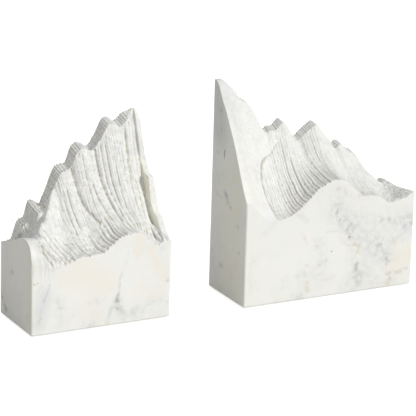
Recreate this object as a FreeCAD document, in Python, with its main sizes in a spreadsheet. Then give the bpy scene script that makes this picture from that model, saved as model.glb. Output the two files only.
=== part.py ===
"""A pair of carved marble book ends, in millimetres.

Each book end is one block of stone with flat polished sides and a top carved like a mountain side:
a thin jagged ridge along the back, a steep hollow below it, and a wavy front edge.
The books stand between the two tall faces. Each block rests on four thin pads.

Frame: X runs along the shelf from the left block to the right one, Y from front to back, Z up.
The origin is on the shelf, under the middle of the pair.
"""
import FreeCAD
import Part
import Sketcher
import os

# Driving dimensions in millimetres: alias, value.
SIZES = (
    ("left_width", 133),
    ("left_peak", 176),
    ("right_width", 175),
    ("right_peak", 196),
    ("block_depth", 68),
    ("book_gap", 70),
    ("forward_step", 7),
    ("edge_round", 1.6),
    ("band_fall", 0.25),
    ("rim_thick", 7),
    ("pad_radius", 9),
    ("pad_thick", 1.5),
    ("pad_inset", 18),
    ("pad_round", 0.4),
)

# The left block's top. Its ridge and front edge run from the outer face to the book face, as (x, z).
# Its shoulder, on the outer face, and the two edges of the rim along its book face run from front to
# back, as (y, z). The rim's top slopes down from its inner edge to its outer edge, in two ledges.
LEFT_RIDGE = (
    (0, 66), (10, 68), (13, 80), (16, 87), (19, 85), (22, 89), (24, 100), (28, 103), (33, 99),
    (36, 96), (38, 103), (42, 110), (45, 118), (47, 125), (50, 130), (55, 132), (60, 131),
    (62, 136), (65, 146), (70, 150), (75, 149), (81, 144), (85, 150), (90, 158), (93, 166),
    (97, 170), (102, 169), (106, 165), (110, 167), (114, 172), (120, 173), (125, 176), (128, 176),
    (131, 172), (133, 164),
)
LEFT_FRONT = (
    (0, 62), (14, 59), (20, 57), (26, 61), (36, 64), (45, 67), (66, 67), (74, 73), (83, 80),
    (91, 82), (100, 83), (107, 80), (115, 72), (121, 69), (133, 70),
)
LEFT_SHOULDER = (
    (0, 62), (1, 72), (3, 77), (7, 82), (10, 84), (16, 84), (27, 82), (37, 77), (53, 71), (68, 66),
)
SHOULDER_TILT = 0.2
RIM_INNER = (
    (0, 71), (4, 73), (8, 79), (17, 89), (23, 91), (29, 99), (32, 112), (34, 120), (41, 121),
    (50, 131), (54, 145), (59, 160), (63, 172), (68, 176),
)
RIM_OUTER = (
    (0, 70), (5, 72), (11, 77), (18, 87), (24, 89), (29, 98), (34, 110), (37, 118), (45, 120),
    (52, 128), (61, 143), (66, 157), (68, 162),
)
# Depth of the flat-topped band along the ridge, as (x, depth).
LEFT_BAND = ((0, 25), (30, 25), (40, 15), (116, 14), (126, 1))
# How hollow the slope is, as (x, power): 1 is a straight slope, and more is a deeper hollow.
LEFT_HOLLOW = ((0, 1.6), (30, 1.7), (60, 2.0), (100, 2.2), (126, 2.4))
# How far the folds of the slope wander towards the book face on their way down.
LEFT_DRIFT = 12
# Buttresses: the crest from its foot to its top, then how fast its left and right sides fall.
LEFT_SPURS = (
    (
        (
            (20, 0, 57), (15, 2, 71), (13, 8, 81), (16, 18, 89), (18, 24, 93), (22, 30, 95),
            (31, 38, 99), (36, 44, 107), (43, 53, 116),
        ),
        2.2, 0.9,
    ),
    (((84, 10, 79), (80, 25, 91), (75, 40, 113), (71, 54, 144)), 1.1, 0.8),
    (((107, 10, 88), (103, 25, 101), (100, 40, 127), (96, 54, 162)), 1.0, 0.8),
)

# How far apart in height a buttress and the slope under it may be where they start to merge.
MERGE_REACH = 6

# The right block's top, the same way round, so that its ridge and front edge start at the book face.
RIGHT_RIDGE = (
    (0, 195), (6, 196), (10, 192), (18, 186), (24, 177), (30, 174), (36, 168), (41, 159),
    (46, 149), (50, 144), (54, 148), (58, 146), (62, 150), (66, 154), (71, 150), (77, 140),
    (82, 133), (88, 139), (96, 145), (101, 148), (105, 145), (110, 138), (117, 131), (122, 122),
    (126, 127), (131, 125), (137, 118), (143, 117), (150, 107), (156, 99), (162, 94), (168, 85),
    (171, 81), (175, 81),
)
RIGHT_FRONT = (
    (0, 99), (16, 86), (22, 81), (30, 79), (37, 79), (48, 82), (54, 87), (63, 94), (72, 103),
    (80, 107), (88, 110), (97, 110), (105, 106), (112, 98), (120, 91), (135, 90), (140, 87),
    (147, 81), (160, 83), (175, 89),
)
RIGHT_BOOK_EDGE = (
    (0, 98), (8, 109), (14, 121), (22, 138), (32, 154), (41, 168), (50, 179), (57, 190), (62, 195),
    (68, 195),
)
RIGHT_END_EDGE = ((0, 89), (13, 88), (30, 86), (59, 87), (65, 84), (68, 81))
# How far in from the end face the surface starts to turn up to that edge, as (y, reach).
RIGHT_END_REACH = ((0, 6), (10, 17), (45, 17), (58, 6))
RIGHT_BAND = ((0, 4), (40, 8), (60, 11), (175, 11))
RIGHT_HOLLOW = ((0, 1.0), (30, 1.4), (50, 1.9), (66, 2.6), (120, 2.2), (150, 1.6), (175, 1.0))
RIGHT_DRIFT = 0
RIGHT_SPURS = (
    (((70, 16, 98), (69, 30, 107), (67, 43, 124), (66, 57, 147)), 1.2, 1.2),
    (((104, 14, 107), (103, 28, 113), (102, 43, 125), (101, 57, 141)), 1.4, 1.0),
    (((133, 12, 91), (131, 27, 96), (130, 42, 106), (128, 57, 119)), 1.2, 1.0),
)
# A small hollow behind the front edge, towards the far end: its middle, its reach and its depth.
END_HOLLOW = ((160, 26), (14, 22), 5)

# Poles of the carved surface: this far apart along X, at these places along Y (closer at the cliff),
# and this far outside the block on every side.
POLE_STEP = 2.4
POLE_ROWS = (0, 1, 3, 5, 8, 12, 18, 24, 30, 36, 40, 43, 45.5, 48, 50, 52, 53.5, 55, 57, 59, 62, 65, 68)
OVERLAP = 6
TOOL_HEIGHT = 180
SURFACE_DEGREE = 2


def along(points, place):
    """Height at a place on an outline of (place, height) points, level beyond its ends."""
    before = points[0]
    for after in points:
        if place <= after[0]:
            span = after[0] - before[0]
            share = (place - before[0]) / span if span else 0
            return before[1] + max(share, 0) * (after[1] - before[1])
        before = after
    return points[-1][1]


def eased(value, low, high):
    """0 at or below low, 1 at or above high, smooth between."""
    share = min(max((value - low) / (high - low), 0), 1)
    return share * share * (3 - 2 * share)


def hollow_slope(x, y, ridge, front, hollow, band, drift, size):
    """The ridge band along the back, and the hollow slope from it down to the front edge."""
    depth = size["block_depth"]
    cliff = depth - along(band, x)
    if y >= cliff:
        return along(ridge, x) - size["band_fall"] * (depth - y)
    share = y / cliff
    top = along(ridge, x - drift * (1 - share) ** 1.2) - size["band_fall"] * (depth - cliff)
    low = along(front, x)
    return low + (top - low) * share ** along(hollow, x)


def crest_place(crest, y):
    """How far along X a buttress's crest lies at a depth y."""
    return along([(point[1], point[0]) for point in crest], y)


def spur(x, y, crest, left_fall, right_fall):
    """A buttress: a crest line, falling away to both sides, and nothing beyond its foot and its top."""
    if not crest[0][1] <= y <= crest[-1][1]:
        return 0
    aside = x - crest_place(crest, y)
    crest_z = along([(point[1], point[2]) for point in crest], y)
    return crest_z + (left_fall * aside if aside < 0 else -right_fall * aside)


def merged(lower, upper):
    """The higher of two surfaces, with the crease between them filled by a fillet."""
    near = max(MERGE_REACH - abs(lower - upper), 0) / MERGE_REACH
    return max(lower, upper) + MERGE_REACH / 4 * near * near


def left_top(x, y, size):
    """Height of the left block's carved top, without the rim at the book face."""
    slope = hollow_slope(x, y, LEFT_RIDGE, LEFT_FRONT, LEFT_HOLLOW, LEFT_BAND, LEFT_DRIFT, size)
    shoulder = along(LEFT_SHOULDER, y) - SHOULDER_TILT * x
    if y >= size["block_depth"] - along(LEFT_BAND, x):
        base = max(slope, shoulder)
    else:
        edge = crest_place(LEFT_SPURS[0][0], y)
        base = shoulder + eased(x, edge - 3, edge + 1) * (slope - shoulder)
    for each in LEFT_SPURS:
        base = merged(base, spur(x, y, *each))
    return base


def right_top(x, y, size):
    """Height of the right block's carved top."""
    slope = hollow_slope(x, y, RIGHT_RIDGE, RIGHT_FRONT, RIGHT_HOLLOW, RIGHT_BAND, RIGHT_DRIFT, size)
    height = slope
    for each in RIGHT_SPURS:
        height = max(height, spur(x, y, *each))
    (middle_x, middle_y), (reach_x, reach_y), hollow_depth = END_HOLLOW
    away = ((x - middle_x) / reach_x) ** 2 + ((y - middle_y) / reach_y) ** 2
    height -= hollow_depth * max(1 - away, 0)
    near_books = 1 - eased(x, 0, 14)
    height += near_books * (along(RIGHT_BOOK_EDGE, y) - height)
    near_end = eased(x, size["right_width"] - along(RIGHT_END_REACH, y), size["right_width"])
    return height + near_end * (along(RIGHT_END_EDGE, y) - height)


def fill_sheet(doc):
    """The spreadsheet of driving dimensions, and the same values by alias."""
    sheet = doc.addObject("Spreadsheet::Sheet", "sizes")
    for row, (alias, value) in enumerate(SIZES, start=1):
        sheet.set(f"A{row}", alias)
        sheet.set(f"B{row}", str(value))
        sheet.setAlias(f"B{row}", alias)
    doc.recompute()
    return {alias: float(sheet.get(alias)) for alias, _ in SIZES}


def origin_plane(body, role):
    """One of the body's own origin planes, such as XY_Plane."""
    return next(plane for plane in body.Origin.OriginFeatures if plane.Role == role)


def new_sketch(body, name, role):
    """An empty sketch on one of the body's own origin planes."""
    sketch = body.newObject("Sketcher::SketchObject", name)
    sketch.AttachmentSupport = [(origin_plane(body, role), "")]
    sketch.MapMode = "FlatFace"
    return sketch


def add_outline(sketch, corners):
    """A closed outline through the corners, with every corner held at its place."""
    points = [FreeCAD.Vector(x, y, 0) for x, y in corners]
    for start, end in zip(points, points[1:] + points[:1]):
        sketch.addGeometry(Part.LineSegment(start, end), False)
    for number, point in enumerate(points):
        before = (number - 1) % len(points)
        sketch.addConstraint(Sketcher.Constraint("Coincident", before, 2, number, 1))
        sketch.addConstraint(Sketcher.Constraint("DistanceX", -1, 1, number, 1, point.x))
        sketch.addConstraint(Sketcher.Constraint("DistanceY", -1, 1, number, 1, point.y))


def add_rectangle(sketch, width, depth):
    """A rectangle from the sketch's origin, its sides bound to two cells of the sheet."""
    corners = [FreeCAD.Vector(*place) for place in ((0, 0, 0), (10, 0, 0), (10, 5, 0), (0, 5, 0))]
    for start, end in zip(corners, corners[1:] + corners[:1]):
        sketch.addGeometry(Part.LineSegment(start, end), False)
    for side in range(4):
        sketch.addConstraint(Sketcher.Constraint("Coincident", side, 2, (side + 1) % 4, 1))
        sketch.addConstraint(Sketcher.Constraint("Vertical" if side % 2 else "Horizontal", side))
    sketch.addConstraint(Sketcher.Constraint("Coincident", 0, 1, -1, 1))
    for side, distance, cell in ((0, "DistanceX", width), (1, "DistanceY", depth)):
        number = sketch.addConstraint(Sketcher.Constraint(distance, side, 1, side, 2, 8))
        sketch.setExpression(f"Constraints[{number}]", f"sizes.{cell}")


def pad(body, sketch, name, length):
    """Pads a sketch by a cell of the sheet."""
    feature = body.newObject("PartDesign::Pad", name)
    feature.Profile = sketch
    feature.setExpression("Length", f"sizes.{length}")
    return feature


def round_edges(body, feature, name, cell, wanted):
    """Rounds the edges of a feature that the test wanted accepts."""
    body.Document.recompute()
    edges = [f"Edge{n}" for n, edge in enumerate(feature.Shape.Edges, start=1) if wanted(edge)]
    fillet = body.newObject("PartDesign::Fillet", name)
    fillet.Base = (feature, edges)
    fillet.setExpression("Radius", f"sizes.{cell}")
    return fillet


def block_stock(doc, side):
    """The squared block before carving: polished, with its upright and bottom edges rounded."""
    body = doc.addObject("PartDesign::Body", f"{side}_stock")
    sketch = new_sketch(body, f"{side}_footprint", "XY_Plane")
    add_rectangle(sketch, f"{side}_width", "block_depth")
    block = pad(body, sketch, f"{side}_block", f"{side}_peak")
    round_edges(body, block, f"{side}_rounding", "edge_round", lambda edge: edge.BoundBox.ZMin < 1)
    return body


def carving_surface(size, width, top):
    """The carved surface as one smooth sheet over the block and a little beyond it."""
    depth = size["block_depth"]
    steps = round(width / POLE_STEP)
    across = [-OVERLAP] + [width * step / steps for step in range(steps + 1)] + [width + OVERLAP]
    rows = (-OVERLAP,) + POLE_ROWS + (depth + OVERLAP,)
    poles = []
    for x in across:
        inside_x = min(max(x, 0), width)
        poles.append([FreeCAD.Vector(x, y, top(inside_x, min(max(y, 0), depth), size)) for y in rows])
    knots = []
    repeats = []
    for count in (len(across), len(rows)):
        spans = count - SURFACE_DEGREE
        knots.append(list(range(spans + 1)))
        repeats.append([SURFACE_DEGREE + 1] + [1] * (spans - 1) + [SURFACE_DEGREE + 1])
    surface = Part.BSplineSurface()
    surface.buildFromPolesMultsKnots(
        poles, repeats[0], repeats[1], knots[0], knots[1], False, False, SURFACE_DEGREE, SURFACE_DEGREE
    )
    return surface.toShape()


def carving_tool(doc, side, size, top):
    """What the carving takes away: everything above the carved surface."""
    tool = doc.addObject("Part::Feature", f"{side}_waste")
    tool.Shape = carving_surface(size, size[f"{side}_width"], top).extrude(FreeCAD.Vector(0, 0, TOOL_HEIGHT))
    return tool


def rim_slab(doc, size):
    """The rim that the carving leaves standing along the left block's book face, as a loft across X."""
    body = doc.addObject("PartDesign::Body", "rim_slab")
    bottom = LEFT_FRONT[0][1] / 2
    far = size["block_depth"] + OVERLAP
    sketches = []
    for name, edge in (("rim_inner", RIM_INNER), ("rim_outer", RIM_OUTER)):
        sketch = new_sketch(body, name, "YZ_Plane")
        ends = [(-OVERLAP, edge[0][1]), *edge, (far, edge[-1][1])]
        add_outline(sketch, [(-OVERLAP, bottom), (far, bottom)] + ends[::-1])
        sketches.append(sketch)
    sketches[1].setExpression("AttachmentOffset.Base.z", "sizes.rim_thick")
    loft = body.newObject("PartDesign::AdditiveLoft", "rim_loft")
    loft.Profile = sketches[0]
    loft.Sections = [sketches[1]]
    loft.Ruled = True
    body.setExpression("Placement.Base.x", "sizes.left_width - sizes.rim_thick")
    return body


def cut(doc, name, base, tool):
    """Base without tool."""
    feature = doc.addObject("Part::Cut", name)
    feature.Base = base
    feature.Tool = tool
    return feature


def rest_pad(doc, name):
    """A thin round self-adhesive pad, its lower edge softened, standing on its own origin."""
    body = doc.addObject("PartDesign::Body", name)
    sketch = new_sketch(body, f"{name}_circle", "XY_Plane")
    sketch.addGeometry(Part.Circle(FreeCAD.Vector(0, 0, 0), FreeCAD.Vector(0, 0, 1), 5), False)
    sketch.addConstraint(Sketcher.Constraint("Coincident", 0, 3, -1, 1))
    number = sketch.addConstraint(Sketcher.Constraint("Radius", 0, 5))
    sketch.setExpression(f"Constraints[{number}]", "sizes.pad_radius")
    disc = pad(body, sketch, f"{name}_disc", "pad_thick")
    round_edges(body, disc, f"{name}_edge", "pad_round", lambda edge: edge.BoundBox.ZMax < 0.1)
    return body


def build():
    """Makes the document, checks it and writes one STEP file per piece."""
    doc = FreeCAD.newDocument("book_ends")
    size = fill_sheet(doc)
    left_waste = cut(doc, "left_carving", carving_tool(doc, "left", size, left_top), rim_slab(doc, size))
    right_waste = carving_tool(doc, "right", size, right_top)
    pieces = [
        cut(doc, "left_book_end", block_stock(doc, "left"), left_waste),
        cut(doc, "right_book_end", block_stock(doc, "right"), right_waste),
    ]
    # Where each block's front left corner stands.
    half_width = "(sizes.left_width + sizes.book_gap + sizes.right_width) / 2"
    half_depth = "(sizes.block_depth + sizes.forward_step) / 2"
    corners = {
        "left": (f"-{half_width}", f"sizes.forward_step - {half_depth}"),
        "right": (f"sizes.left_width + sizes.book_gap - {half_width}", f"-{half_depth}"),
    }
    for piece, side in zip(pieces, corners):
        piece.setExpression("Placement.Base.x", corners[side][0])
        piece.setExpression("Placement.Base.y", corners[side][1])
        piece.setExpression("Placement.Base.z", "sizes.pad_thick")
    rows = {"front": "sizes.pad_inset", "back": "sizes.block_depth - sizes.pad_inset"}
    for side, (x, y) in corners.items():
        ends = {"left": "sizes.pad_inset", "right": f"sizes.{side}_width - sizes.pad_inset"}
        for row, y_inside in rows.items():
            for end, x_inside in ends.items():
                rest = rest_pad(doc, f"{side}_pad_{row}_{end}")
                rest.setExpression("Placement.Base.x", f"{x} + {x_inside}")
                rest.setExpression("Placement.Base.y", f"{y} + {y_inside}")
                pieces.append(rest)
    doc.recompute()
    for thing in doc.Objects:
        if {"Invalid", "Error"} & set(thing.State):
            raise RuntimeError(f"{thing.Name} failed: {thing.State}")
    os.makedirs("parts", exist_ok=True)
    for piece in pieces:
        shape = piece.Shape
        if shape.isNull() or not shape.isValid() or len(shape.Solids) != 1:
            raise RuntimeError(f"{piece.Label} isn't one valid solid")
        box = shape.optimalBoundingBox(False)
        spans = f"{box.XLength:.1f} x {box.YLength:.1f} x {box.ZLength:.1f} mm"
        print(f"{piece.Label}: {spans}, {shape.Volume / 1000:.1f} cm3")
        shape.exportStep(f"parts/{piece.Label}.step")


build()
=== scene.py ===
"""The looks of a pair of carved marble book ends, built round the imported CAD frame.

Each block of stone is one closed mesh. Its carved top follows the CAD block, measured from above,
and is then worked over the way a mason's tools leave it: fine passes, deeper flutes, a chipped skin.
Sizes here are in millimetres in a block's own frame, with x from its left face, y from its front face
and z from its underside, until block_mesh turns them into metres in the row frame.
"""
import math

import bpy
import numpy as np
from mathutils import Matrix, Vector
from mathutils.bvhtree import BVHTree


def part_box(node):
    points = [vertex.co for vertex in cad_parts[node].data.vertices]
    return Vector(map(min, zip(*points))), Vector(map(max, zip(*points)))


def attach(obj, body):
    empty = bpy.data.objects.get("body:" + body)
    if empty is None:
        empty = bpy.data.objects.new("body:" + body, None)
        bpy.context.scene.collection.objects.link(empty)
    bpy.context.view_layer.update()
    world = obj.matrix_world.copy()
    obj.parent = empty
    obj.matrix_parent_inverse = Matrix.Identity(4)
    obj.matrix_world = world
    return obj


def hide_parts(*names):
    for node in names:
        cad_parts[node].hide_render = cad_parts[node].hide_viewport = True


MM = 0.001
# Radius of a block's upright edges and foot, and of the lip round its carved top.
EDGE_ROUND = 1.6
LIP_ROUND = 0.6
# Grid lines over a rounded edge: (how far in, spacing).
EDGE_RUNS = ((LIP_ROUND, 0.15), (EDGE_ROUND, 0.35))
# The ridge is measured along a line this far in front of a block's back, and its stripes along the row
# at this share of the rows.
RIDGE_INSET = 5
RIDGE_ROW = 0.93
# A place this far below its surroundings gets the full painted shade of a hollow. The surroundings are what
# is left once the cuts are smoothed so many times.
HOLLOW_DEPTH = 0.5
HOLLOW_SMOOTHING = 24
# Random heights that the noise runs through. Each seed starts a step further into them.
LATTICE_SIZE = (101, 103)
LATTICE = np.random.default_rng(7).uniform(-1, 1, LATTICE_SIZE)
SEED_STEP = (17, 31)


# ---------------------------------------------------------------- small helpers

def noise(x, y, seed=0):
    """Smooth noise from -1 to 1 over a plane, about one bump per unit."""
    column = np.floor(x).astype(int)
    row = np.floor(y).astype(int)
    across = x - column
    along = y - row
    across = across * across * (3 - 2 * across)
    along = along * along * (3 - 2 * along)

    def corner(right, up):
        across_lattice = (column + right + SEED_STEP[0] * seed) % LATTICE_SIZE[0]
        along_lattice = (row + up + SEED_STEP[1] * seed) % LATTICE_SIZE[1]
        return LATTICE[across_lattice, along_lattice]

    near = corner(0, 0) * (1 - across) + corner(1, 0) * across
    far = corner(0, 1) * (1 - across) + corner(1, 1) * across
    return near * (1 - along) + far * along


def eased(value, low, high):
    """0 at or below low, 1 at or above high, smooth between."""
    share = np.clip((value - low) / (high - low), 0, 1)
    return share * share * (3 - 2 * share)


def between(value, low, high, blend):
    """1 between low and high, falling to 0 over blend outside them."""
    return eased(value, low - blend, low) * (1 - eased(value, high, high + blend))


def outline(places, points):
    """Value at places on an outline of (place, value) points."""
    return np.interp(places, [point[0] for point in points], [point[1] for point in points])


def arc_length(places, heights):
    """Length along a profile from its first place, at every place."""
    steps = np.hypot(np.diff(places), np.diff(heights))
    return np.concatenate([[0], np.cumsum(steps)])


def grid_lines(start, *runs):
    """Grid lines from start: each run is (where it ends, spacing)."""
    lines = [start]
    for end, spacing in runs:
        count = max(round((end - lines[-1]) / spacing), 1)
        lines += list(np.linspace(lines[-1], end, count + 1)[1:])
    return np.array(lines)


# ---------------------------------------------------------------- the CAD surface

def cad_tree(node):
    """A search tree over a CAD node's mesh, in the row frame."""
    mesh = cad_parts[node].data
    corners = [vertex.co.copy() for vertex in mesh.vertices]
    return BVHTree.FromPolygons(corners, [tuple(face.vertices) for face in mesh.polygons])


def rounded_plan(xs, ys, width, depth):
    """The grid in plan, with its four corners rounded to the stone's upright edges."""
    x, y = np.meshgrid(xs, ys, indexing="ij")
    right = np.where(x > width / 2, width - EDGE_ROUND, EDGE_ROUND)
    back = np.where(y > depth / 2, depth - EDGE_ROUND, EDGE_ROUND)
    across = (x - right) / EDGE_ROUND
    along = (y - back) / EDGE_ROUND
    across_sign = np.where(x > width / 2, 1, -1)
    along_sign = np.where(y > depth / 2, 1, -1)
    inside = (across * across_sign > 0) & (along * along_sign > 0)
    round_x = right + EDGE_ROUND * across * np.sqrt(1 - 0.5 * np.clip(along, -1, 1) ** 2)
    round_y = back + EDGE_ROUND * along * np.sqrt(1 - 0.5 * np.clip(across, -1, 1) ** 2)
    return np.where(inside, round_x, x), np.where(inside, round_y, y)


def cad_heights(tree, low, high, x, y):
    """Height of the CAD block's top over each place of the grid, above the block's underside.

    Each ray starts above the block, a thousandth of the way in to its middle, so that none slips
    past its outermost edge.
    """
    centre = (low + high) / 2
    above = high.z + 50 * MM
    nudge = 0.001
    heights = np.zeros(x.shape)
    down = Vector((0, 0, -1))
    for place in np.ndindex(x.shape):
        start = Vector((low.x + x[place] * MM, low.y + y[place] * MM, above))
        start.x += (centre.x - start.x) * nudge
        start.y += (centre.y - start.y) * nudge
        hit = tree.ray_cast(start, down)[0]
        heights[place] = (hit.z - low.z) / MM
    return heights


def ridge_columns(tree, low, high, start, end, count):
    """Columns from start to end, closer together where the ridge is steep.

    They are spaced half by how far across they are and half by how far along the ridge's outline.
    """
    fine = np.linspace(start, end, 600)
    back = np.full(fine.shape, (high.y - low.y) / MM - RIDGE_INSET)
    heights = cad_heights(tree, low, high, fine, back)
    along_ridge = arc_length(fine, heights)
    measure = np.linspace(0, 0.5, len(fine)) + 0.5 * along_ridge / along_ridge[-1]
    return np.interp(np.linspace(0, 1, count), measure, fine)


def grid_normals(points):
    """Unit normals of a grid of points, facing up."""
    along_x = np.gradient(points, axis=0)
    along_y = np.gradient(points, axis=1)
    normals = np.cross(along_x, along_y)
    return normals / np.maximum(np.linalg.norm(normals, axis=2, keepdims=True), 1e-9)


def softened(field, times):
    """A grid field smoothed so many times, its border kept."""
    for _ in range(times):
        inner = field[1:-1, 1:-1]
        around = field[:-2, 1:-1] + field[2:, 1:-1] + field[1:-1, :-2] + field[1:-1, 2:]
        field = field.copy()
        field[1:-1, 1:-1] = 0.5 * inner + 0.125 * around
    return field


# ---------------------------------------------------------------- the mason's tools

def passes(place, pitch, seed, sharpness=1.6):
    """Grooves side by side, at uneven depths: up to 1 along their middles, 0 halfway between them."""
    steps = place / pitch + 0.35 * noise(place / (3.1 * pitch), 0 * place, seed)
    number = np.floor(steps)
    across = np.abs(2 * (steps - number) - 1)
    weight = 0.72 + 0.28 * noise(number * 1.7, 0 * place, seed + 3)
    return weight * (1 - across) ** sharpness


def flute(place, middle, half_width):
    """One deeper groove: 1 along its middle, 0 outside its half width."""
    share = np.clip(1 - np.abs(place - middle) / half_width, 0, 1)
    return share ** 1.3


def chips(x, y, z, size, seed):
    """The rough skin that a point chisel leaves, from -1 to 1, with bumps of about that size."""
    a = noise((x + 0.4 * z) / size, (y + 0.9 * z) / size, seed)
    b = noise((x - 0.3 * z) / size * 2.1, (y + 0.8 * z) / size * 2.1, seed + 5)
    return 0.65 * a + 0.35 * b


def rounded(path):
    """A path with its corners cut twice, at a quarter and three quarters of the way along its runs."""
    for _ in range(2):
        inner = []
        for (x0, y0), (x1, y1) in zip(path, path[1:]):
            inner.append((0.75 * x0 + 0.25 * x1, 0.75 * y0 + 0.25 * y1))
            inner.append((0.25 * x0 + 0.75 * x1, 0.25 * y0 + 0.75 * y1))
        path = [path[0], *inner, path[-1]]
    return path


def beside(x, y, path):
    """Signed distance in plan from a path of (x, y) points, positive on its right-hand side."""
    best = np.full(x.shape, 1e9)
    side = np.zeros(x.shape)
    for (x0, y0), (x1, y1) in zip(path, path[1:]):
        run = (x1 - x0, y1 - y0)
        length = math.hypot(*run)
        share = np.clip(((x - x0) * run[0] + (y - y0) * run[1]) / length ** 2, 0, 1)
        away_x = x - x0 - share * run[0]
        away_y = y - y0 - share * run[1]
        away = np.hypot(away_x, away_y)
        turned = (run[1] * away_x - run[0] * away_y) / length
        side = np.where(away < best, np.where(turned < 0, -away, away), side)
        best = np.minimum(best, away)
    return side


def path_flutes(place, share, grooves):
    """Cut depth of flutes that follow paths of (share of the way up, place)."""
    total = np.zeros(place.shape)
    for path, half_width, depth in grooves:
        middle = outline(share, path)
        ends = between(share, path[0][0], path[-1][0], 0.06)
        total = total + depth * ends * flute(place, middle, half_width)
    return total


def before_cliff(cliff, y):
    """1 on the slope in front of the ridge band's foot, 0 behind it."""
    return eased(cliff - y, -0.6, 0.4)


def behind_cliff(cliff, y):
    """1 on the ridge band, 0 in front of it."""
    return 1 - eased(cliff - y, -1.2, -0.2)


def slope_foot(x, share, start, end):
    """1 at the foot of a slope, falling to 0 between start and an uneven end, as shares of the way up."""
    return 1 - eased(share, start, end + 0.12 * noise(x / 13, 0 * share, 5))


def rough_patches(x, y):
    """1 in the patches of a slope that are left rough, 0 between them."""
    return eased(noise(x / 12, y / 9, 6), -0.5, 0.5)


def wavering(place, x, z, reach):
    """Place across the comb's grooves, which waver sideways by up to the reach."""
    return place + reach * noise(x / 4, z / 6, 7)


def strokes(place, x, z, pitch):
    """Fine strokes between the grooves of a slope."""
    return passes(place + 0.3 * noise(x / 3, z / 7, 9), pitch, 4)


def slope_skin(x, y, z):
    """The chipped skin of a grooved slope: small chips on broad bumps."""
    return 0.6 * chips(x, y, z, 1.5, 8) + 1.2 * chips(x, y, z, 4.0, 18)


def ridge_stripes(x, y, z, pitch):
    """Stripes down the ridge band, evenly spaced along the ridge's outline."""
    ridge = z[:, int(z.shape[1] * RIDGE_ROW)]
    along_ridge = arc_length(x[:, 0], ridge)[:, None] + 0 * y
    return passes(along_ridge + 0.3 * noise(x / 5, y / 6, 9), pitch, 11, 0.8)


# ---------------------------------------------------------------- the left block

# Depth of the ridge band, as (x, depth), and how far a groove drifts across on its way down.
LEFT_BAND = ((0, 25), (30, 25), (40, 15), (116, 14), (126, 1))
LEFT_DRIFT = 12
# The rim along the book face: where it starts, how far either side of that its upright side reaches, and
# a column along its top, counted from the book face.
RIM_START = 126
WALL_HALF = 0.25
RIM_COLUMN = 12
# How far apart the grooves of each kind of tool pass are.
LEFT_COMB = 3.2
LEFT_STROKES = 1.9
LEFT_STRIPES = 2.6
FAN_GROOVES = 5.2
FAN_STROKES = 2.3
SCALLOPS = 4.3
RIM_TICKS = 1.7
# The deeper flutes: paths of (share of the way up, place along the ridge), half width, depth.
LEFT_FLUTES = (
    (((0.80, 44), (1.0, 44)), 1.5, 0.6),
    (((0.45, 47), (0.85, 48)), 1.5, 0.8),
    (((0.50, 52.5), (0.85, 52)), 1.9, 1.3),
    (((0.45, 68), (0.65, 63), (0.80, 60.5), (1.0, 60)), 2.2, 1.5),
    (((0.65, 70), (0.95, 70)), 1.4, 0.5),
    (((0.40, 78.5), (0.60, 76), (0.75, 74.5)), 1.8, 1.2),
    (((0.35, 86), (0.60, 83.5), (0.80, 82.5), (1.0, 82)), 2.1, 1.7),
    (((0.40, 88.5), (0.70, 86.5), (0.95, 87)), 1.5, 0.9),
    (((0.50, 90), (0.92, 90.5)), 1.5, 0.9),
    (((0.45, 93.5), (0.75, 96)), 1.4, 0.5),
    (((0.45, 103), (0.85, 105)), 1.5, 0.6),
    (((0.30, 106.5), (0.55, 108.5), (0.95, 110.5)), 2.0, 1.3),
    (((0.15, 111), (0.50, 114), (1.0, 116)), 1.8, 1.4),
    (((0.05, 116.5), (0.45, 118.5), (0.95, 121)), 1.7, 1.2),
    (((0.02, 56), (0.40, 57)), 1.7, 0.8),
    (((0.02, 72), (0.42, 73)), 1.7, 0.8),
    (((0.02, 28), (0.35, 29)), 1.6, 0.6),
)
# In plan: the edge of the smooth facet and shoulder at the outer corner.
FACET_EDGE = ((21, -3), (19, 0), (15, 3), (13, 8), (15, 18), (17, 24), (21, 30), (30, 38), (36, 45))


def left_slope(x, y, z, share, combed):
    """The grooves that fan down the left hollow, and the skin between them."""
    place = x - LEFT_DRIFT * (1 - share) ** 1.2 + 0.5 * noise(x / 20, y / 9, 2)
    low = slope_foot(x, share, 0.20, 0.55)
    patch = rough_patches(x, y)
    comb = (0.28 + 1.27 * low) * passes(wavering(place, x, z, 0.4), LEFT_COMB, 1, 1.1)
    strands = (0.18 + 0.30 * (1 - patch)) * strokes(place, x, z, LEFT_STROKES)
    deep = 1.15 * path_flutes(place, share, LEFT_FLUTES)
    skin = (0.24 + 0.34 * patch) * slope_skin(x, y, z)
    return combed * comb + strands + deep - skin


def left_fan(x, y, z, facet_side, fan):
    """The slanting grooves at the facet's foot, scallops along the front edge and a line by the facet."""
    slant = x + 0.55 * z + 0.6 * noise(x / 5, y / 6, 21)
    slanting = 1.9 * passes(slant, FAN_GROOVES, 15, 1.8) + 0.5 * passes(slant, FAN_STROKES, 17)
    scalloped = between(x, 20, 44, 3) * between(y, -1, 4, 4) * passes(x, SCALLOPS, 23, 1.0)
    lined = between(y, 2, 12, 4) * flute(facet_side, 0, 1.3)
    return fan * slanting + 1.2 * scalloped + 1.2 * lined


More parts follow.
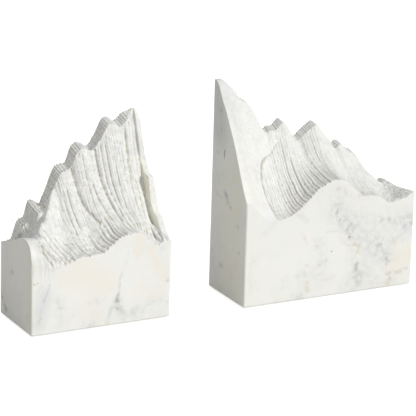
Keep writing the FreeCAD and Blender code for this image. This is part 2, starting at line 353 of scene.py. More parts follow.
def left_relief(x, y, z, depth):
    """Cut depth over the left block's top, and how tooled its skin is."""
    cliff = depth - outline(x, LEFT_BAND)
    share = np.clip(y / cliff, 0, 1)
    facet_side = beside(x, y, FACET_EDGE)
    before_rim = x < RIM_START - WALL_HALF
    rim_side = np.abs(x - RIM_START) < WALL_HALF
    rim = x > RIM_START + WALL_HALF
    slope = before_cliff(cliff, y) * before_rim
    band = behind_cliff(cliff, y) * before_rim
    grooved = slope * eased(facet_side, -2.5, 1.0)
    facet = slope * (1 - grooved) * eased(y, 3, 9)
    fan = between(x, 15, 42, 6) * (1 - eased(z, 84, 98)) * (1 - eased(y, 19, 27))
    cut = grooved * left_slope(x, y, z, share, 1 - fan)
    cut += slope * left_fan(x, y, z, facet_side, fan)
    # A shallow gutter runs along the rim's foot.
    cut += slope * 0.5 * flute(x, RIM_START - 1.4, 1.8) * between(share, 0.45, 0.95, 0.15)
    # The facet's foot melts into the shoulder.
    melt = between(x, 12, 42, 8) * (1 - eased(y, 12, 30))
    level = grid_normals(np.stack([x, y, z], axis=2))[:, :, 2]
    cut += melt * level * (z - softened(z, 500))
    cut += band * (1.1 * ridge_stripes(x, y, z, LEFT_STRIPES) - 0.3 * chips(x, y, z, 1.6, 12))
    # The rim carries fine ticks, along its own outline on top and by height on its side.
    rim_line = arc_length(y[-RIM_COLUMN], z[-RIM_COLUMN])[None, :] + 0 * x
    cut += rim_side * 0.25 * passes(z, 1.8, 16)
    cut += rim * (0.35 * passes(rim_line, RIM_TICKS, 13) - 0.12 * chips(x, y, z, 1.6, 14))
    cut -= facet * 0.32 * (chips(x, y, z, 1.6, 15) + 0.8 * chips(x, y, z, 4.5, 18))
    tooled = np.clip(grooved + band + 0.6 * rim + 0.55 * facet + fan + 0.25, 0, 1)
    return cut, tooled


# ---------------------------------------------------------------- the right block

# As for the left block, and how far apart the strokes are that dress the smooth slope.
RIGHT_BAND = ((0, 4), (40, 8), (60, 11), (175, 11))
RIGHT_COMB = 2.6
RIGHT_STROKES = 1.8
RIGHT_STRIPES = 2.2
DRESSING = 2.3
RIGHT_FLUTES = (
    (((0.05, 37), (0.35, 37)), 1.4, 0.7),
    (((0.05, 42), (0.45, 41.5)), 1.5, 0.8),
    (((0.05, 46.5), (0.45, 47)), 1.4, 0.6),
    (((0.05, 51.5), (0.55, 52.5)), 1.6, 0.9),
    (((0.05, 55.5), (0.60, 57)), 1.4, 0.7),
    (((0.05, 60), (0.80, 61)), 1.8, 1.0),
    (((0.05, 65.3), (0.70, 66.3)), 1.9, 1.3),
    (((0.05, 69), (0.30, 69)), 1.3, 0.5),
    (((0.05, 73.5), (0.55, 74.5), (0.80, 76.5)), 1.8, 0.9),
    (((0.05, 79.5), (0.50, 79.6)), 1.3, 0.6),
    (((0.05, 84.5), (1.0, 83.8)), 1.9, 1.1),
    (((0.05, 90), (0.30, 90), (0.60, 92), (1.0, 93.8)), 1.5, 0.7),
    (((0.60, 96), (1.0, 98)), 1.4, 0.6),
    (((0.10, 106.5), (0.45, 108)), 1.6, 0.5),
)
# In plan: the thin lip that bounds the smooth slope, from the front edge up, and the end valley.
LIP = ((32, -3), (31, 10), (28, 20), (30, 31), (37, 40.5), (46, 48), (56, 52.5), (63, 54), (65, 75))
END_VALLEY = ((147, -3), (153, 20), (160, 42), (172, 72))


def right_slope(x, y, z, share):
    """The close comb of grooves down the right hollow, and the skin between them."""
    place = x + 0.5 * noise(x / 20, y / 9, 2)
    low = slope_foot(x, share, 0.30, 0.80)
    patch = rough_patches(x, y)
    comb = (0.55 + 0.85 * low) * passes(wavering(place, x, z, 0.3), RIGHT_COMB, 1, 1.1)
    comb = comb * (1 - 0.6 * eased(x, 98, 112))
    strands = (0.15 + 0.25 * (1 - patch)) * strokes(place, x, z, RIGHT_STROKES)
    deep = 0.5 * path_flutes(place, share, RIGHT_FLUTES)
    skin = (0.16 + 0.26 * patch) * slope_skin(x, y, z)
    return comb + strands + deep - skin


def right_relief(x, y, z, depth):
    """Cut depth over the right block's top, and how tooled its skin is."""
    cliff = depth - outline(x, RIGHT_BAND)
    share = np.clip(y / cliff, 0, 1)
    from_lip = beside(x, y, rounded(LIP))
    ending = eased(beside(x, y, END_VALLEY), -2, 1.5)
    grooved = before_cliff(cliff, y) * eased(from_lip, 0, 1.2) * (1 - ending)
    band = behind_cliff(cliff, y) * eased(x, 22, 25) * (1 - ending)
    plain = (1 - grooved) * (1 - ending) * (1 - band)
    dressed = eased(share, 0.05, 0.45)
    cut = grooved * right_slope(x, y, z, share)
    # A groove undercuts the lip, deepest where the lip turns.
    cut += (0.9 * between(y, 2, 50, 4) + 2.0 * between(y, 16, 38, 8)) * flute(from_lip, 0.9, 1.8)
    cut += ending * (0.3 - 0.5 * chips(x, y, z, 3.2, 21) - 0.6 * chips(x, y, z, 1.4, 22))
    cut += band * (1.1 * ridge_stripes(x, y, z, RIGHT_STRIPES) - 0.2 * chips(x, y, z, 1.6, 12))
    # The smooth slope is lightly dressed, and rolls over into the front face.
    streaks = 0.28 * passes(x + 0.5 * noise(x / 5, y / 8, 17), DRESSING, 15)
    cut += plain * dressed * (streaks - 0.26 * chips(x, y, z, 1.4, 16) - 0.12 * chips(x, y, z, 4.0, 19))
    cut += 1.8 * (1 - eased(y, -8, 8)) * (1 - eased(x, 24, 34))
    tooled = np.clip(grooved + band + ending + (0.3 + 0.3 * dressed) * plain, 0, 1)
    return cut, tooled


# ---------------------------------------------------------------- one closed block

# How far either side of an upright wall the grid is close.
WALL_MARGIN = 0.2
# The walls start this far below the carved top's border.
WALL_DROP = 0.3
# Heights of the walls' rings, as shares of the way down, and angles of the rings round the foot.
WALL_SHARES = (0.3, 0.6, 1.0)
FOOT_ANGLES = (22.5, 45, 67.5, 86)


def boundary(count_x, count_y):
    """Grid places round the border, anticlockwise from above."""
    front = [(i, 0) for i in range(count_x)]
    right = [(count_x - 1, j) for j in range(1, count_y)]
    back = [(i, count_y - 1) for i in range(count_x - 2, -1, -1)]
    left = [(0, j) for j in range(count_y - 2, 0, -1)]
    return front + right + back + left


def stand_wall(xs, ys, z, wall):
    """Banks the stone up against an upright wall's front end, then spreads the wall's columns up it.

    The bank is three quarters of the wall's height, 7 mm wide, and gone 24 mm from the front face.
    """
    first, last = np.flatnonzero(np.abs(xs - wall) < WALL_HALF)[[0, -1]]
    bank = 0.75 * (1 - eased(ys, 3, 24)) * (z[last] - z[first])
    z[:first + 1] += eased(xs[:first + 1], wall - 7, wall)[:, None] * bank
    share = np.linspace(0, 1, last - first + 1)[:, None]
    z[first:last + 1] = z[first] * (1 - share) + z[last] * share


def block_columns(tree, low, high, count, wall):
    """Grid lines across a block, close on its rounded edges and by an upright wall."""
    width = (high.x - low.x) / MM
    edge = grid_lines(0.0, *EDGE_RUNS)
    carved_end = wall - WALL_MARGIN if wall else width - EDGE_ROUND
    carved = ridge_columns(tree, low, high, EDGE_ROUND, carved_end, count)
    beyond = []
    if wall:
        beyond = grid_lines(carved_end, (wall + WALL_MARGIN, 0.05), (width - EDGE_ROUND, 0.5))[1:]
    return np.concatenate([edge[:-1], carved, beyond, (width - edge[::-1])[1:]])


def block_rows(depth, runs):
    """Grid lines from a block's front to its back, close on its rounded edges."""
    edge = grid_lines(0.0, *EDGE_RUNS)
    return np.concatenate([edge[:-1], grid_lines(EDGE_ROUND, *runs), (depth - edge[::-1])[1:]])


def carved_top(flat, cut, width, depth):
    """The top once the cuts are taken off it, with a rounded lip.

    A cut goes in along the surface's normal, and straight down at the border, so the walls stay flat.
    """
    x = flat[:, :, 0]
    y = flat[:, :, 1]
    to_edge = np.minimum(np.minimum(x, width - x), np.minimum(y, depth - y))
    normals = grid_normals(flat)
    inside = eased(to_edge, 0, EDGE_ROUND)[:, :, None]
    upward = np.zeros(normals.shape)
    upward[:, :, 2] = 1 / np.maximum(normals[:, :, 2], 0.45)
    points = flat - cut[:, :, None] * (normals * inside + upward * (1 - inside))
    inward = np.clip(LIP_ROUND - to_edge, 0, LIP_ROUND)
    points[:, :, 2] -= LIP_ROUND - np.sqrt(LIP_ROUND ** 2 - inward ** 2)
    return points


def wall_rings(top, plan, width, depth):
    """Rings of corners down the polished walls and in round the block's foot."""
    core = np.clip(plan, EDGE_ROUND, (width - EDGE_ROUND, depth - EDGE_ROUND))
    start = top[:, 2] - WALL_DROP
    rings = [np.column_stack([top[:, :2], start])]
    for share in WALL_SHARES:
        rings.append(np.column_stack([plan, start * (1 - share) + EDGE_ROUND * share]))
    for angle in FOOT_ANGLES:
        reach = math.cos(math.radians(angle))
        foot = EDGE_ROUND * (1 - math.sin(math.radians(angle)))
        rings.append(np.column_stack([core + (plan - core) * reach, np.full(len(plan), foot)]))
    return rings


def block_faces(shape, ring, ring_count):
    """The top's quads, and all the faces: those quads, the walls and foot, and the underside as a fan."""
    first = np.arange(shape[0] * shape[1]).reshape(shape)
    quads = np.stack([first[:-1, :-1], first[1:, :-1], first[1:, 1:], first[:-1, 1:]], axis=2)
    quads = quads.reshape(-1, 4)
    faces = quads.tolist()
    turns = [(a, (a + 1) % len(ring)) for a in range(len(ring))]
    above = [int(first[place]) for place in ring]
    for number in range(ring_count):
        start = first.size + number * len(ring)
        below = list(range(start, start + len(ring)))
        faces += [(above[b], above[a], below[a], below[b]) for a, b in turns]
        above = below
    middle = first.size + ring_count * len(ring)
    faces += [(above[b], above[a], middle) for a, b in turns]
    return quads, faces


def mark_skin(mesh, quads, cut, tooled):
    """Leaves the tooled faces flat and the rest smooth, and gives the marble its tooled and hollow values."""
    smooth = np.ones(len(mesh.polygons), dtype=bool)
    worked = tooled.ravel()[quads].mean(axis=1) > 0.5
    smooth[:len(worked)] = ~worked
    mesh.polygons.foreach_set("use_smooth", smooth)
    hollows = np.clip((cut - softened(cut, HOLLOW_SMOOTHING)) / HOLLOW_DEPTH, -1, 1)
    for attribute, field in (("tooled", tooled), ("hollow", hollows)):
        values = np.zeros(len(mesh.vertices), dtype=np.float32)
        values[:field.size] = field.ravel()
        mesh.attributes.new(attribute, "FLOAT", "POINT").data.foreach_set("value", values)


def block_mesh(name, node, body, columns, rows, relief, material, wall=None):
    """One closed block: its carved top, its polished walls, its rounded foot and its underside.

    columns is how many grid lines cross the carved stretch, rows the (end, spacing) runs from front to
    back, relief what cuts the top, and wall the x of an upright step in it.
    """
    low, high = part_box(node)
    tree = cad_tree(node)
    width = (high.x - low.x) / MM
    depth = (high.y - low.y) / MM
    xs = block_columns(tree, low, high, columns, wall)
    ys = block_rows(depth, rows)
    x, y = rounded_plan(xs, ys, width, depth)
    z = softened(cad_heights(tree, low, high, x, y), 2)
    if wall:
        stand_wall(xs, ys, z, wall)
    cut, tooled = relief(x, y, z, depth)
    flat = np.stack([x, y, z], axis=2)
    points = carved_top(flat, cut, width, depth)

    ring = boundary(len(xs), len(ys))
    top = np.array([points[place] for place in ring])
    plan = np.array([flat[place][:2] for place in ring])
    rings = wall_rings(top, plan, width, depth)
    underside = [[width / 2, depth / 2, 0]]
    corners = np.concatenate([points.reshape(-1, 3), *rings, underside]) * MM + np.array(low)
    quads, faces = block_faces(x.shape, ring, len(rings))
    mesh = bpy.data.meshes.new(name)
    mesh.from_pydata(corners.tolist(), [], faces)
    mark_skin(mesh, quads, cut, tooled)
    mesh.materials.append(material)
    mesh.update()
    block = bpy.data.objects.new(name, mesh)
    bpy.context.scene.collection.objects.link(block)
    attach(block, body)
    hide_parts(node)
    return block


# ---------------------------------------------------------------- materials

class Nodes:
    """Short ways to add shader nodes to one material and join them."""

    def __init__(self, name):
        self.material = bpy.data.materials.new(name)
        self.material.use_nodes = True
        self.tree = self.material.node_tree
        self.shader = self.tree.nodes["Principled BSDF"]

    def add(self, kind, inputs=(), **settings):
        """A node with its settings, and its inputs given by name or number as values or sockets."""
        node = self.tree.nodes.new("ShaderNode" + kind)
        for key, value in settings.items():
            setattr(node, key, value)
        for key, value in dict(inputs).items():
            if isinstance(value, bpy.types.NodeSocket):
                self.tree.links.new(value, node.inputs[key])
            else:
                node.inputs[key].default_value = value
        return node

    def set(self, **values):
        """Sets the shader's own inputs, whose names are given with _ for each space."""
        for name, value in values.items():
            self.shader.inputs[name.replace("_", " ")].default_value = value

    def math(self, operation, a, b=0.0, c=0.0, clamp=False):
        node = self.add("Math", {0: a, 1: b, 2: c}, operation=operation, use_clamp=clamp)
        return node.outputs[0]

    def vector(self, operation, a, b=(0, 0, 0)):
        node = self.add("VectorMath", {0: a, 1: b}, operation=operation)
        return node.outputs["Value" if operation in ("LENGTH", "DISTANCE", "DOT_PRODUCT") else "Vector"]

    def scaled(self, value, factor):
        node = self.add("VectorMath", {0: value, 3: factor}, operation="SCALE")
        return node.outputs["Vector"]

    def noise(self, where, scale, detail=3.0, roughness=0.5, distortion=0.0):
        inputs = {"Vector": where, "Scale": scale, "Detail": detail, "Roughness": roughness}
        node = self.add("TexNoise", {**inputs, "Distortion": distortion})
        return node.outputs["Fac"]

    def wander(self, where, scale, roughness, reach):
        """A smooth random shift in all three directions, by up to half the reach either way."""
        inputs = {"Vector": where, "Scale": scale, "Detail": 4.0, "Roughness": roughness}
        random = self.add("TexNoise", inputs).outputs["Color"]
        return self.scaled(self.vector("SUBTRACT", random, (0.5, 0.5, 0.5)), reach)

    def ramp(self, value, low, high, out_low=0.0, out_high=1.0):
        """A smooth step from out_low at low to out_high at high."""
        inputs = {"Value": value, "From Min": low, "From Max": high, "To Min": out_low, "To Max": out_high}
        return self.add("MapRange", inputs, interpolation_type="SMOOTHSTEP").outputs["Result"]

    def mix(self, share, a, b):
        """Colour a turning into colour b. Sockets 6 and 7 of the node are its two colours."""
        return self.add("Mix", {"Factor": share, 6: a, 7: b}, data_type="RGBA").outputs[2]

    def join(self, output, name):
        """Feeds an output to one of the shader's own inputs."""
        self.tree.links.new(output, self.shader.inputs[name])

    def bump(self, height, strength, distance):
        """Bumps too fine for the mesh, of that distance in metres."""
        node = self.add("Bump", {"Height": height, "Strength": strength, "Distance": distance})
        self.join(node.outputs["Normal"], "Normal")


def rgb(red, green, blue):
    """A colour for a shader socket."""
    return (red, green, blue, 1.0)


# The stone's colours: its ground, its tooled skin and its veins and spots, with painted shade for hollows,
# a painted highlight for raised edges and painted light for the left block's rim.
WHITE = rgb(0.84, 0.84, 0.815)
CREAM = rgb(0.84, 0.805, 0.735)
COOL = rgb(0.70, 0.71, 0.715)
TOOLED = rgb(0.80, 0.80, 0.78)
BRUISED = rgb(0.63, 0.64, 0.645)
# Painted shade for hollows, warm in tone to stand in for light passing into the stone.
HOLLOW_SHADE = rgb(0.50, 0.47, 0.38)
OLIVE = rgb(0.83, 0.81, 0.67)
# Painted light: a warm brightening for the left block's shaded rim wall and gutter.
RIM_PAINTED_LIGHT = rgb(0.93, 0.91, 0.76)
# Painted highlight for the raised edges of the tooled skin.
EDGE_HIGHLIGHT = rgb(0.90, 0.90, 0.89)
VEIN = rgb(0.33, 0.35, 0.37)
BROWN = rgb(0.42, 0.31, 0.22)
TAN = rgb(0.66, 0.58, 0.42)
RUST = rgb(0.30, 0.13, 0.11)


def marble(name, corner, marks, bruising, scored=None):
    """White marble: soft mottling, veins and spots given one by one, and a matt skin where it is tooled.

    corner is the block's lowest corner. Each mark is (colour, strength, half width, points), with its
    points in the block's own millimetres: one point for a spot, more for a vein through them. bruising
    is how grey the tooled skin's patches are, and scored the (x, z) on the front face that faint upright
    tool scores reach, from the upper left. The hollows of the tooled skin get painted shade and its raised
    edges a painted highlight, and one mark of the left block is painted light.
    """
    nodes = Nodes(name)
    where = nodes.add("TexCoord").outputs["Object"]
    place = nodes.scaled(nodes.vector("SUBTRACT", where, corner), 1 / MM)
    # Veins and spots wander by some millimetres, fray at their edges and break up.
    wandered = nodes.vector("ADD", place, nodes.wander(place, 0.11, 0.62, 7.0))
    wandered = nodes.vector("ADD", wandered, nodes.wander(place, 0.6, 0.7, 3.0))
    broken = nodes.ramp(nodes.noise(place, 0.17, 5.0, 0.62), 0.38, 0.62, 0.15, 1.0)

    # The ground: grey clouds, cream clouds, small flecks, and hair veins within the grey.
    clouds = nodes.ramp(nodes.noise(place, 0.028, 5.0, 0.6, 0.4), 0.45, 0.75)
    elsewhere = nodes.vector("ADD", place, (40, 90, 10))
    warm = nodes.ramp(nodes.noise(elsewhere, 0.022, 4.0, 0.55), 0.5, 0.8)
    colour = nodes.mix(nodes.math("MULTIPLY", clouds, 0.35), WHITE, COOL)
    colour = nodes.mix(nodes.math("MULTIPLY", warm, 0.45), colour, CREAM)
    flecks = nodes.ramp(nodes.noise(place, 0.35, 3.0, 0.6), 0.62, 0.76)
    colour = nodes.mix(nodes.math("MULTIPLY", flecks, 0.12), colour, VEIN)
    drift = nodes.math("ABSOLUTE", nodes.math("SUBTRACT", nodes.noise(wandered, 0.020, 4.0, 0.55), 0.5))
    threads = nodes.math("MULTIPLY", nodes.ramp(drift, 0.0, 0.03, 0.22, 0.0), clouds)
    colour = nodes.mix(threads, colour, VEIN)

    # The marks, of which the fainter ones break up.
    for tint, strength, half_width, points in marks:
        nearest = None
        for start, end in zip(points, points[1:] or points):
            away = segment_distance(nodes, wandered, start, end)
            nearest = away if nearest is None else nodes.math("MINIMUM", nearest, away)
        share = nodes.ramp(nearest, 0.0, 1.6 * half_width, min(1.3 * strength, 1.0), 0.0)
        if strength < 0.6:
            share = nodes.math("MULTIPLY", share, broken)
        colour = nodes.mix(share, colour, tint)

    # The tooled skin is matt and bruised; its hollows get painted shade, warm in tone, and its raised edges a
    # painted highlight.
    tooled = nodes.add("Attribute", attribute_name="tooled").outputs["Fac"]
    hollow = nodes.add("Attribute", attribute_name="hollow").outputs["Fac"]
    bruised = nodes.ramp(nodes.noise(place, 0.16, 4.0, 0.65), 0.43, 0.60, 0.0, bruising)
    skin = nodes.mix(bruised, TOOLED, BRUISED)
    colour = nodes.mix(nodes.math("MULTIPLY", tooled, 0.75), colour, skin)
    colour = nodes.mix(nodes.ramp(hollow, 0.0, 1.0, 0.0, 0.75), colour, HOLLOW_SHADE)
    colour = nodes.mix(nodes.ramp(hollow, -1.0, -0.1, 0.35, 0.0), colour, EDGE_HIGHLIGHT)
    nodes.join(nodes.ramp(tooled, 0.0, 1.0, 0.45, 0.8), "Roughness")
    grain = nodes.noise(place, 2.2, 4.0, 0.7)
    height = nodes.math("MULTIPLY", grain, nodes.ramp(tooled, 0.0, 1.0, 0.02, 0.25))

    if scored:
        parts = nodes.add("SeparateXYZ", {0: place}).outputs
        reach = nodes.ramp(parts["X"], scored[0] - 8, scored[0], 1.0, 0.0)
        reach = nodes.math("MULTIPLY", reach, nodes.ramp(parts["Z"], scored[1], scored[1] + 14))
        reach = nodes.math("MULTIPLY", reach, nodes.ramp(parts["Y"], 8, 16, 1.0, 0.0))
        scores = nodes.noise(nodes.vector("MULTIPLY", place, (1.0, 0.04, 0.04)), 0.55, 3.0, 0.7)
        scores = nodes.math("MULTIPLY", nodes.ramp(scores, 0.40, 0.62), reach)
        # Painted shade darkens the faint tool scores, which the bump also cuts in.
        colour = nodes.mix(nodes.math("MULTIPLY", scores, 0.16), colour, HOLLOW_SHADE)
        height = nodes.math("SUBTRACT", height, nodes.math("MULTIPLY", scores, 0.6))
    nodes.join(colour, "Base Color")
    nodes.bump(height, 0.6, 0.0008)
    nodes.set(Subsurface_Weight=0.12, Subsurface_Radius=(1.0, 0.9, 0.7), Subsurface_Scale=0.002, IOR=1.5)
    return nodes.material


def segment_distance(nodes, place, start, end):
    """Distance from a place to the straight line from start to end."""
    from_start = nodes.vector("SUBTRACT", place, start)
    run = Vector(end) - Vector(start)
    if run.length == 0:
        return nodes.vector("LENGTH", from_start)
    share = nodes.vector("DOT_PRODUCT", from_start, tuple(run / run.length_squared))
    share = nodes.math("MULTIPLY", share, 1.0, clamp=True)
    return nodes.vector("DISTANCE", from_start, nodes.scaled(tuple(run), share))


# Veins and spots, and on the left block a band of painted light by the rim: colour, strength, half width,
# points (x, y, z) in the block's own millimetres.
LEFT_MARKS = (
    (CREAM, 0.60, 15.0, ((39, 0, 51), (52, 0, 50), (68, 0, 40))),
    (CREAM, 0.55, 12.0, ((49, 0, 22), (60, 0, 12))),
    (CREAM, 0.65, 6.0, ((101, 0, 76), (100, 0, 62))),
    (CREAM, 0.65, 5.0, ((113, 0, 66), (118, 0, 52), (126, 0, 39))),
    (CREAM, 0.55, 10.0, ((104, 0, 28), (116, 0, 28))),
    (TAN, 0.28, 3.0, ((89, 0, 12),)),
    (TAN, 0.25, 3.5, ((72, 0, 3),)),
    (COOL, 0.62, 9.0, ((12, 0, 34), (6, 0, 12))),
    (COOL, 0.50, 7.0, ((87, 0, 7), (99, 0, 10))),
    (COOL, 0.40, 7.0, ((26, 0, 27), (28, 0, 9))),
    (VEIN, 0.22, 1.3, ((92, 0, 66), (89, 1, 56), (86, 1, 46))),
    (VEIN, 0.34, 1.5, ((86, 1, 46), (84, 1, 42), (83, 0, 35), (81, 0, 26))),
    (VEIN, 0.55, 2.0, ((82, 0, 26), (81, 0, 20))),
    (VEIN, 0.28, 4.5, ((81, 0, 22), (84, 0, 13))),
    (VEIN, 0.26, 2.2, ((81, 0, 22), (76, 0, 14), (73, 0, 5))),
    (BROWN, 0.60, 1.1, ((82, 0, 15),)),
    (VEIN, 0.16, 4.0, ((87, 0, 7), (99, 0, 11))),
    (VEIN, 0.26, 1.2, ((17, 0, 45), (12, 0, 31), (7, 0, 12))),
    (VEIN, 0.20, 2.6, ((28, 0, 24), (24, 0, 29))),
    (VEIN, 0.38, 1.4, ((41, 0, 64),)),
    (VEIN, 0.34, 1.7, ((130, 0, 34),)),
    (VEIN, 0.22, 2.0, ((131, 0, 14),)),
    (BROWN, 0.60, 0.8, ((116, 0, 11),)),
    (VEIN, 0.20, 1.6, ((112, 0, 17),)),
    (VEIN, 0.12, 3.5, ((124, 0, 64),)),
    (VEIN, 0.60, 0.6, ((0, 0, 49), (3, 0, 46), (6, 0, 48))),
    (BRUISED, 0.40, 8.0, ((20, 5, 72), (17, 14, 84), (21, 26, 92))),
    # Painted light: a warm bright band down the rim's shaded inner wall and the gutter at its foot.
    (RIM_PAINTED_LIGHT, 0.90, 5.0, ((126, 48, 128), (126, 34, 104), (126, 20, 82))),
    (OLIVE, 0.55, 12.0, ((119, 54, 140), (118, 36, 106), (117, 22, 84))),
    (OLIVE, 0.45, 7.0, ((0, 4, 12), (0, 6, 66))),
    (BROWN, 0.25, 1.4, ((125, 44, 114), (125, 31, 90), (125, 18, 76))),
    (VEIN, 0.55, 2.0, ((0, 67, 23), (0, 62, 14), (0, 55, 7))),
    (VEIN, 0.40, 3.2, ((0, 55, 7),)),
    (VEIN, 0.45, 2.2, ((0, 42, 50), (0, 41, 46))),
    (BROWN, 0.15, 5.0, ((0, 9, 13),)),
)
RIGHT_MARKS = (
    (CREAM, 0.70, 11.0, ((156, 0, 18), (160, 0, 26), (171, 0, 30))),
    (COOL, 0.55, 14.0, ((118, 0, 62), (134, 0, 44), (142, 0, 30))),
    (COOL, 0.45, 12.0, ((92, 0, 78), (108, 0, 62))),
    (COOL, 0.25, 9.0, ((104, 0, 88), (116, 0, 78))),
    (COOL, 0.40, 10.0, ((160, 0, 60), (172, 0, 56))),
    (VEIN, 0.15, 9.0, ((92, 0, 86), (97, 0, 72), (108, 0, 66), (107, 0, 54))),
    (VEIN, 0.12, 10.0, ((114, 0, 44), (116, 0, 24), (118, 0, 6))),
    (VEIN, 0.13, 9.0, ((134, 0, 44), (143, 0, 40), (149, 0, 28))),
    (VEIN, 0.10, 8.0, ((75, 0, 52), (80, 0, 32), (74, 0, 22))),
    (VEIN, 0.14, 9.0, ((140, 0, 66), (152, 0, 62), (168, 0, 64))),
    (VEIN, 0.12, 8.0, ((126, 0, 19), (136, 0, 6), (152, 0, 6))),
    (VEIN, 0.42, 2.2, ((92, 0, 85), (92, 0, 76))),
    (VEIN, 0.32, 1.8, ((99, 0, 70), (94, 0, 73))),
    (VEIN, 0.38, 1.6, ((108, 0, 69), (105, 0, 60))),
    (VEIN, 0.24, 1.5, ((93, 0, 61), (84, 0, 61))),
    (RUST, 1.00, 1.25, ((107, 0, 53),)),
    (TAN, 0.55, 1.9, ((113, 0, 47), (118, 0, 42), (115, 0, 37))),
    (VEIN, 0.42, 2.8, ((116, 0, 27), (116, 0, 21))),
    (VEIN, 0.28, 3.6, ((116, 0, 16), (119, 0, 10), (116, 0, 5))),
    (VEIN, 0.34, 2.6, ((141, 0, 66), (150, 0, 65))),
    (VEIN, 0.24, 2.6, ((165, 0, 66), (175, 0, 65))),
    (VEIN, 0.26, 3.0, ((172, 0, 59), (166, 0, 56))),
    (VEIN, 0.34, 2.4, ((134, 0, 44), (141, 0, 42))),
    (VEIN, 0.36, 2.6, ((149, 0, 33), (148, 0, 22))),
    (VEIN, 0.22, 3.2, ((137, 0, 34),)),
    (VEIN, 0.30, 2.0, ((149, 0, 13), (161, 0, 13), (170, 0, 16))),
    (BROWN, 0.30, 1.8, ((150, 0, 4), (153, 0, 7))),
    (TAN, 0.40, 2.6, ((145, 0, 4), (150, 0, 2))),
    (VEIN, 0.85, 0.9, ((89, 0, 42),)),
    (VEIN, 0.30, 2.2, ((78, 0, 30), (83, 0, 34))),
    (VEIN, 0.20, 2.4, ((73, 0, 50), (78, 0, 48))),
    (TAN, 0.32, 1.8, ((58, 0, 62), (62, 0, 53))),
    (TAN, 0.40, 2.6, ((154, 0, 46), (156, 0, 38))),
    (TAN, 0.34, 2.2, ((64, 0, 32),)),
    (TAN, 0.45, 2.4, ((64, 0, 16), (65, 0, 8))),
    (TAN, 0.30, 2.4, ((56, 0, 6),)),
    (TAN, 0.30, 2.6, ((44, 0, 2), (33, 0, 2))),
    (TAN, 0.26, 2.0, ((44, 0, 23),)),
    (TAN, 0.22, 3.0, ((92, 0, 17), (84, 0, 17))),
    (VEIN, 0.24, 2.6, ((93, 0, 101),)),
    (TAN, 0.40, 2.6, ((93, 0, 100),)),
    (TAN, 0.40, 2.0, ((116, 0, 92),)),
    (VEIN, 0.12, 3.5, ((53, 0, 82), (61, 0, 75))),
    (OLIVE, 0.50, 22.0, ((0, 18, 20), (0, 24, 110))),
    (BRUISED, 0.60, 17.0, ((0, 60, 190), (0, 54, 150))),
    (VEIN, 0.95, 1.5, ((0, 44, 135), (0, 44, 128))),
    (VEIN, 0.55, 2.2, ((0, 50, 152),)),
    (VEIN, 0.50, 2.6, ((0, 53, 170),)),
    (VEIN, 0.45, 3.6, ((0, 40, 96), (0, 36, 90))),
    (BROWN, 0.50, 2.2, ((0, 30, 84),)),
    (BROWN, 0.35, 2.8, ((0, 54, 92),)),
    (VEIN, 0.20, 3.0, ((0, 58, 130),)),
    (BROWN, 0.25, 2.6, ((0, 48, 91),)),
    (VEIN, 0.20, 3.2, ((0, 16, 72),)),
    (VEIN, 0.40, 2.2, ((0, 13, 48),)),
    (VEIN, 0.35, 4.0, ((0, 44, 26),)),
    (VEIN, 0.20, 2.4, ((0, 63, 36),)),
    (TAN, 0.18, 3.2, ((0, 23, 23),)),
)


def felt():
    """Short grey wool felt under the blocks."""
    nodes = Nodes("felt")
    where = nodes.add("TexCoord").outputs["Object"]
    fibres = nodes.noise(where, 900.0, 6.0, 0.75, 1.2)
    tufts = nodes.noise(where, 160.0, 3.0, 0.6)
    share = nodes.math("MULTIPLY_ADD", fibres, 0.6, nodes.math("MULTIPLY", tufts, 0.4))
    nodes.join(nodes.mix(share, rgb(0.30, 0.29, 0.27), rgb(0.62, 0.60, 0.56)), "Base Color")
    nodes.bump(fibres, 0.8, 0.0005)
    nodes.set(Roughness=0.95, Sheen_Weight=0.3)
    return nodes.material


# ---------------------------------------------------------------- floor, light and camera

# Half the side of the floor, in metres.
FLOOR_HALF = 40.0
# Each lamp: the direction toward it, its strength and how wide it looks, in degrees.
LAMPS = {
    "key": ((0.38, -0.80, 0.46), 2.10, 10),
    "fill": ((-0.64, -0.10, 0.76), 0.27, 60),
}
# What lights the blocks from all round. The camera sees pure white there instead.
SKY = rgb(0.44, 0.44, 0.435)
PAPER_WHITE = rgb(1, 1, 1)
# The camera's target and distance in metres, its angles in degrees, its lens and sensor in millimetres.
CAMERA_TARGET = (-0.0209, -0.0303, 0.0974)
CAMERA_DISTANCE = 2.161
CAMERA_AZIMUTH = 28.0
CAMERA_ELEVATION = 17.16
CAMERA_ROLL = 1.61
CAMERA_LENS = 213.4
CAMERA_SENSOR = 36
# The furthest that the camera sees, in metres.
CAMERA_REACH = 200


def floor():
    """A plain pale floor: it shows white, and gives the blocks a softer light back."""
    nodes = Nodes("paper")
    corners = [(-FLOOR_HALF, -FLOOR_HALF, 0), (FLOOR_HALF, -FLOOR_HALF, 0)]
    corners += [(FLOOR_HALF, FLOOR_HALF, 0), (-FLOOR_HALF, FLOOR_HALF, 0)]
    mesh = bpy.data.meshes.new("floor")
    mesh.from_pydata(corners, [], [(0, 1, 2, 3)])
    mesh.materials.append(nodes.material)
    plane = bpy.data.objects.new("floor", mesh)
    bpy.context.scene.collection.objects.link(plane)
    seen = nodes.add("LightPath").outputs["Is Camera Ray"]
    nodes.set(Base_Color=rgb(0.66, 0.65, 0.61), Roughness=1.0, Specular_IOR_Level=0.0)
    nodes.set(Emission_Color=PAPER_WHITE)
    nodes.join(nodes.math("MULTIPLY", seen, 0.75), "Emission Strength")


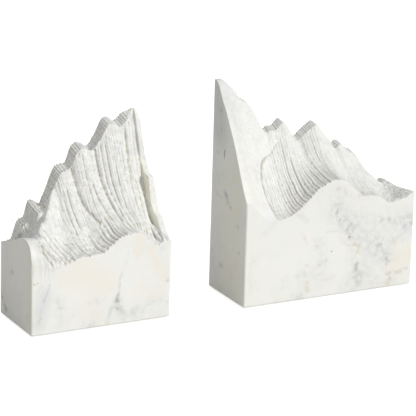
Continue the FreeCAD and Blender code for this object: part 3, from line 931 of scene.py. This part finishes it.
def light():
    """A soft key light from the front right, a weak fill from the left, and an even pale surround."""
    for name, (toward, energy, spread) in LAMPS.items():
        sun = bpy.data.lights.new(name, "SUN")
        sun.energy = energy
        sun.angle = math.radians(spread)
        lamp = bpy.data.objects.new(name, sun)
        lamp.rotation_euler = Vector(toward).to_track_quat("Z", "Y").to_euler()
        bpy.context.scene.collection.objects.link(lamp)
    world = bpy.data.worlds.new("surround")
    world.use_nodes = True
    links = world.node_tree.links
    background = world.node_tree.nodes["Background"]
    path = world.node_tree.nodes.new("ShaderNodeLightPath")
    mix = world.node_tree.nodes.new("ShaderNodeMix")
    mix.data_type = "RGBA"
    mix.inputs[6].default_value = SKY
    mix.inputs[7].default_value = PAPER_WHITE
    links.new(path.outputs["Is Camera Ray"], mix.inputs["Factor"])
    links.new(mix.outputs[2], background.inputs["Color"])
    bpy.context.scene.world = world


def camera():
    """The camera, low in front of the pair and to its left, with a long lens."""
    azimuth, elevation, roll = map(math.radians, (CAMERA_AZIMUTH, CAMERA_ELEVATION, CAMERA_ROLL))
    level = math.cos(elevation)
    back = Vector((-math.sin(azimuth) * level, -math.cos(azimuth) * level, math.sin(elevation)))
    right = Vector((math.cos(azimuth), -math.sin(azimuth), 0))
    up = back.cross(right)
    rolled_right = right * math.cos(roll) + up * math.sin(roll)
    rolled_up = up * math.cos(roll) - right * math.sin(roll)
    lens = bpy.data.cameras.new("camera")
    lens.lens = CAMERA_LENS
    lens.sensor_width = CAMERA_SENSOR
    lens.clip_end = CAMERA_REACH
    eye = bpy.data.objects.new("camera", lens)
    turn = Matrix((rolled_right, rolled_up, back)).transposed().to_4x4()
    eye.matrix_world = Matrix.Translation(Vector(CAMERA_TARGET) + back * CAMERA_DISTANCE) @ turn
    bpy.context.scene.collection.objects.link(eye)
    bpy.context.scene.camera = eye


# ---------------------------------------------------------------- the scene

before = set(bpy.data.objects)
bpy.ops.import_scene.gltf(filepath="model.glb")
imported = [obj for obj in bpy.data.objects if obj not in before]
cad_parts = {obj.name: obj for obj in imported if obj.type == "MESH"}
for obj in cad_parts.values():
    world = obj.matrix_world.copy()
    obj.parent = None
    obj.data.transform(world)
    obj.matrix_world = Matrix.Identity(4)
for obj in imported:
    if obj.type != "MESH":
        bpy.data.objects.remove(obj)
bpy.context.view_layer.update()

left_corner = tuple(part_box("left_book_end")[0])
right_corner = tuple(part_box("right_book_end")[0])
left_marble = marble("left_stone", left_corner, LEFT_MARKS, 0.7, scored=(26, 46))
right_marble = marble("right_stone", right_corner, RIGHT_MARKS, 0.5)
# Rows from front to back, as (end, spacing): closest by the foot of the ridge band, and ending where the
# back's rounded edge starts.
left_rows = ((24, 0.7), (41, 0.42), (55, 0.21), (66.4, 0.57))
right_rows = ((30, 0.65), (44, 0.4), (57.5, 0.22), (66.4, 0.6))
block_mesh("left_marble", "left_book_end", "left_end", 420, left_rows, left_relief, left_marble, RIM_START)
block_mesh("right_marble", "right_book_end", "right_end", 440, right_rows, right_relief, right_marble)
pad_felt = felt()
for node_name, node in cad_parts.items():
    if "_pad_" in node_name:
        node.data.materials.clear()
        node.data.materials.append(pad_felt)
floor()
light()
camera()
bpy.context.scene.view_settings.view_transform = "Standard"
